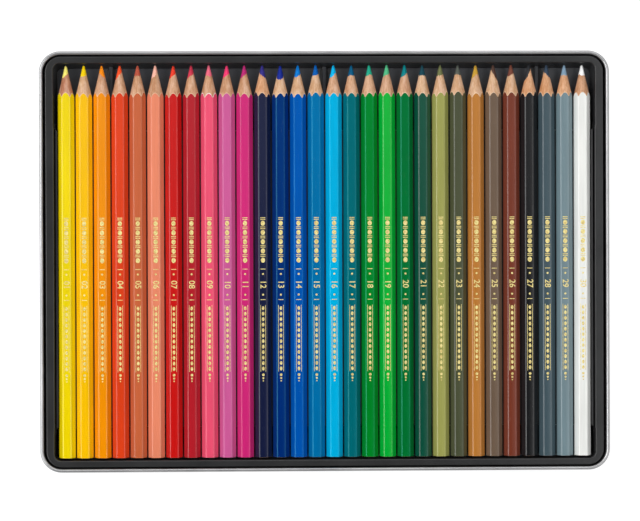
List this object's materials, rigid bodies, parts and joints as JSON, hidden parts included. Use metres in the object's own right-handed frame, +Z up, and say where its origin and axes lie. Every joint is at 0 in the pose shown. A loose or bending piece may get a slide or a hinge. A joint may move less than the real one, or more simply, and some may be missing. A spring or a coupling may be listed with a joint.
{
  "type": "watercolour pencil set",
  "caption": "Shallow rolled-rim tin with a black formed insert that holds a row of sharpened hexagonal watercolour pencils, each lifting out of its groove.",
  "frame": {"origin": "on the table under the middle of the tin's floor", "axes": "+X along the row from the first pencil to the last, +Y along the pencils towards their tips, +Z up"},
  "size_m": [0.2534, 0.1868, 0.013],
  "materials": {
    "tinplate": "bright rolled tinplate",
    "black_plastic": "satin formed sheet",
    "lacquer_01_lemon_yellow": "lacquered wood with a pigment core, lemon yellow",
    "lacquer_02_golden_yellow": "lacquered wood with a pigment core, golden yellow",
    "lacquer_03_orange": "lacquered wood with a pigment core, orange",
    "lacquer_04_vermilion": "lacquered wood with a pigment core, vermilion",
    "lacquer_05_terracotta": "lacquered wood with a pigment core, terracotta",
    "lacquer_06_salmon": "lacquered wood with a pigment core, salmon",
    "lacquer_07_scarlet": "lacquered wood with a pigment core, scarlet",
    "lacquer_08_carmine": "lacquered wood with a pigment core, carmine",
    "lacquer_09_rose_pink": "lacquered wood with a pigment core, rose pink",
    "lacquer_10_mauve": "lacquered wood with a pigment core, mauve",
    "lacquer_11_magenta": "lacquered wood with a pigment core, magenta",
    "lacquer_12_dark_violet": "lacquered wood with a pigment core, dark violet",
    "lacquer_13_navy_blue": "lacquered wood with a pigment core, navy blue",
    "lacquer_14_blue": "lacquered wood with a pigment core, blue",
    "lacquer_15_cobalt": "lacquered wood with a pigment core, cobalt",
    "lacquer_16_sky_blue": "lacquered wood with a pigment core, sky blue",
    "lacquer_17_petrol": "lacquered wood with a pigment core, petrol",
    "lacquer_18_green": "lacquered wood with a pigment core, green",
    "lacquer_19_bright_green": "lacquered wood with a pigment core, bright green",
    "lacquer_20_emerald": "lacquered wood with a pigment core, emerald",
    "lacquer_21_fir_green": "lacquered wood with a pigment core, fir green",
    "lacquer_22_light_olive": "lacquered wood with a pigment core, light olive",
    "lacquer_23_dark_olive": "lacquered wood with a pigment core, dark olive",
    "lacquer_24_ochre": "lacquered wood with a pigment core, ochre",
    "lacquer_25_taupe": "lacquered wood with a pigment core, taupe",
    "lacquer_26_maroon": "lacquered wood with a pigment core, maroon",
    "lacquer_27_black": "lacquered wood with a pigment core, black",
    "lacquer_28_slate": "lacquered wood with a pigment core, slate",
    "lacquer_29_steel_grey": "lacquered wood with a pigment core, steel grey",
    "lacquer_30_white": "lacquered wood with a pigment core, white"
  },
  "bodies": {
    "tin": {"tin_tray": "tinplate"},
    "insert": {"pencil_insert": "black_plastic"},
    "pencil_01": {"pencil_01_lemon_yellow": "lacquer_01_lemon_yellow"},
    "pencil_02": {"pencil_02_golden_yellow": "lacquer_02_golden_yellow"},
    "pencil_03": {"pencil_03_orange": "lacquer_03_orange"},
    "pencil_04": {"pencil_04_vermilion": "lacquer_04_vermilion"},
    "pencil_05": {"pencil_05_terracotta": "lacquer_05_terracotta"},
    "pencil_06": {"pencil_06_salmon": "lacquer_06_salmon"},
    "pencil_07": {"pencil_07_scarlet": "lacquer_07_scarlet"},
    "pencil_08": {"pencil_08_carmine": "lacquer_08_carmine"},
    "pencil_09": {"pencil_09_rose_pink": "lacquer_09_rose_pink"},
    "pencil_10": {"pencil_10_mauve": "lacquer_10_mauve"},
    "pencil_11": {"pencil_11_magenta": "lacquer_11_magenta"},
    "pencil_12": {"pencil_12_dark_violet": "lacquer_12_dark_violet"},
    "pencil_13": {"pencil_13_navy_blue": "lacquer_13_navy_blue"},
    "pencil_14": {"pencil_14_blue": "lacquer_14_blue"},
    "pencil_15": {"pencil_15_cobalt": "lacquer_15_cobalt"},
    "pencil_16": {"pencil_16_sky_blue": "lacquer_16_sky_blue"},
    "pencil_17": {"pencil_17_petrol": "lacquer_17_petrol"},
    "pencil_18": {"pencil_18_green": "lacquer_18_green"},
    "pencil_19": {"pencil_19_bright_green": "lacquer_19_bright_green"},
    "pencil_20": {"pencil_20_emerald": "lacquer_20_emerald"},
    "pencil_21": {"pencil_21_fir_green": "lacquer_21_fir_green"},
    "pencil_22": {"pencil_22_light_olive": "lacquer_22_light_olive"},
    "pencil_23": {"pencil_23_dark_olive": "lacquer_23_dark_olive"},
    "pencil_24": {"pencil_24_ochre": "lacquer_24_ochre"},
    "pencil_25": {"pencil_25_taupe": "lacquer_25_taupe"},
    "pencil_26": {"pencil_26_maroon": "lacquer_26_maroon"},
    "pencil_27": {"pencil_27_black": "lacquer_27_black"},
    "pencil_28": {"pencil_28_slate": "lacquer_28_slate"},
    "pencil_29": {"pencil_29_steel_grey": "lacquer_29_steel_grey"},
    "pencil_30": {"pencil_30_white": "lacquer_30_white"}
  },
  "joints": [
    {"name": "insert_lift", "type": "slide", "parent": "tin", "child": "insert", "axis": [0, 0, 1], "range_m": [0, 0.03]},
    {"name": "pencil_01_lift", "type": "slide", "parent": "insert", "child": "pencil_01", "axis": [0, 0, 1], "range_m": [0, 0.05]},
    {"name": "pencil_02_lift", "type": "slide", "parent": "insert", "child": "pencil_02", "axis": [0, 0, 1], "range_m": [0, 0.05]},
    {"name": "pencil_03_lift", "type": "slide", "parent": "insert", "child": "pencil_03", "axis": [0, 0, 1], "range_m": [0, 0.05]},
    {"name": "pencil_04_lift", "type": "slide", "parent": "insert", "child": "pencil_04", "axis": [0, 0, 1], "range_m": [0, 0.05]},
    {"name": "pencil_05_lift", "type": "slide", "parent": "insert", "child": "pencil_05", "axis": [0, 0, 1], "range_m": [0, 0.05]},
    {"name": "pencil_06_lift", "type": "slide", "parent": "insert", "child": "pencil_06", "axis": [0, 0, 1], "range_m": [0, 0.05]},
    {"name": "pencil_07_lift", "type": "slide", "parent": "insert", "child": "pencil_07", "axis": [0, 0, 1], "range_m": [0, 0.05]},
    {"name": "pencil_08_lift", "type": "slide", "parent": "insert", "child": "pencil_08", "axis": [0, 0, 1], "range_m": [0, 0.05]},
    {"name": "pencil_09_lift", "type": "slide", "parent": "insert", "child": "pencil_09", "axis": [0, 0, 1], "range_m": [0, 0.05]},
    {"name": "pencil_10_lift", "type": "slide", "parent": "insert", "child": "pencil_10", "axis": [0, 0, 1], "range_m": [0, 0.05]},
    {"name": "pencil_11_lift", "type": "slide", "parent": "insert", "child": "pencil_11", "axis": [0, 0, 1], "range_m": [0, 0.05]},
    {"name": "pencil_12_lift", "type": "slide", "parent": "insert", "child": "pencil_12", "axis": [0, 0, 1], "range_m": [0, 0.05]},
    {"name": "pencil_13_lift", "type": "slide", "parent": "insert", "child": "pencil_13", "axis": [0, 0, 1], "range_m": [0, 0.05]},
    {"name": "pencil_14_lift", "type": "slide", "parent": "insert", "child": "pencil_14", "axis": [0, 0, 1], "range_m": [0, 0.05]},
    {"name": "pencil_15_lift", "type": "slide", "parent": "insert", "child": "pencil_15", "axis": [0, 0, 1], "range_m": [0, 0.05]},
    {"name": "pencil_16_lift", "type": "slide", "parent": "insert", "child": "pencil_16", "axis": [0, 0, 1], "range_m": [0, 0.05]},
    {"name": "pencil_17_lift", "type": "slide", "parent": "insert", "child": "pencil_17", "axis": [0, 0, 1], "range_m": [0, 0.05]},
    {"name": "pencil_18_lift", "type": "slide", "parent": "insert", "child": "pencil_18", "axis": [0, 0, 1], "range_m": [0, 0.05]},
    {"name": "pencil_19_lift", "type": "slide", "parent": "insert", "child": "pencil_19", "axis": [0, 0, 1], "range_m": [0, 0.05]},
    {"name": "pencil_20_lift", "type": "slide", "parent": "insert", "child": "pencil_20", "axis": [0, 0, 1], "range_m": [0, 0.05]},
    {"name": "pencil_21_lift", "type": "slide", "parent": "insert", "child": "pencil_21", "axis": [0, 0, 1], "range_m": [0, 0.05]},
    {"name": "pencil_22_lift", "type": "slide", "parent": "insert", "child": "pencil_22", "axis": [0, 0, 1], "range_m": [0, 0.05]},
    {"name": "pencil_23_lift", "type": "slide", "parent": "insert", "child": "pencil_23", "axis": [0, 0, 1], "range_m": [0, 0.05]},
    {"name": "pencil_24_lift", "type": "slide", "parent": "insert", "child": "pencil_24", "axis": [0, 0, 1], "range_m": [0, 0.05]},
    {"name": "pencil_25_lift", "type": "slide", "parent": "insert", "child": "pencil_25", "axis": [0, 0, 1], "range_m": [0, 0.05]},
    {"name": "pencil_26_lift", "type": "slide", "parent": "insert", "child": "pencil_26", "axis": [0, 0, 1], "range_m": [0, 0.05]},
    {"name": "pencil_27_lift", "type": "slide", "parent": "insert", "child": "pencil_27", "axis": [0, 0, 1], "range_m": [0, 0.05]},
    {"name": "pencil_28_lift", "type": "slide", "parent": "insert", "child": "pencil_28", "axis": [0, 0, 1], "range_m": [0, 0.05]},
    {"name": "pencil_29_lift", "type": "slide", "parent": "insert", "child": "pencil_29", "axis": [0, 0, 1], "range_m": [0, 0.05]},
    {"name": "pencil_30_lift", "type": "slide", "parent": "insert", "child": "pencil_30", "axis": [0, 0, 1], "range_m": [0, 0.05]}
  ]
}
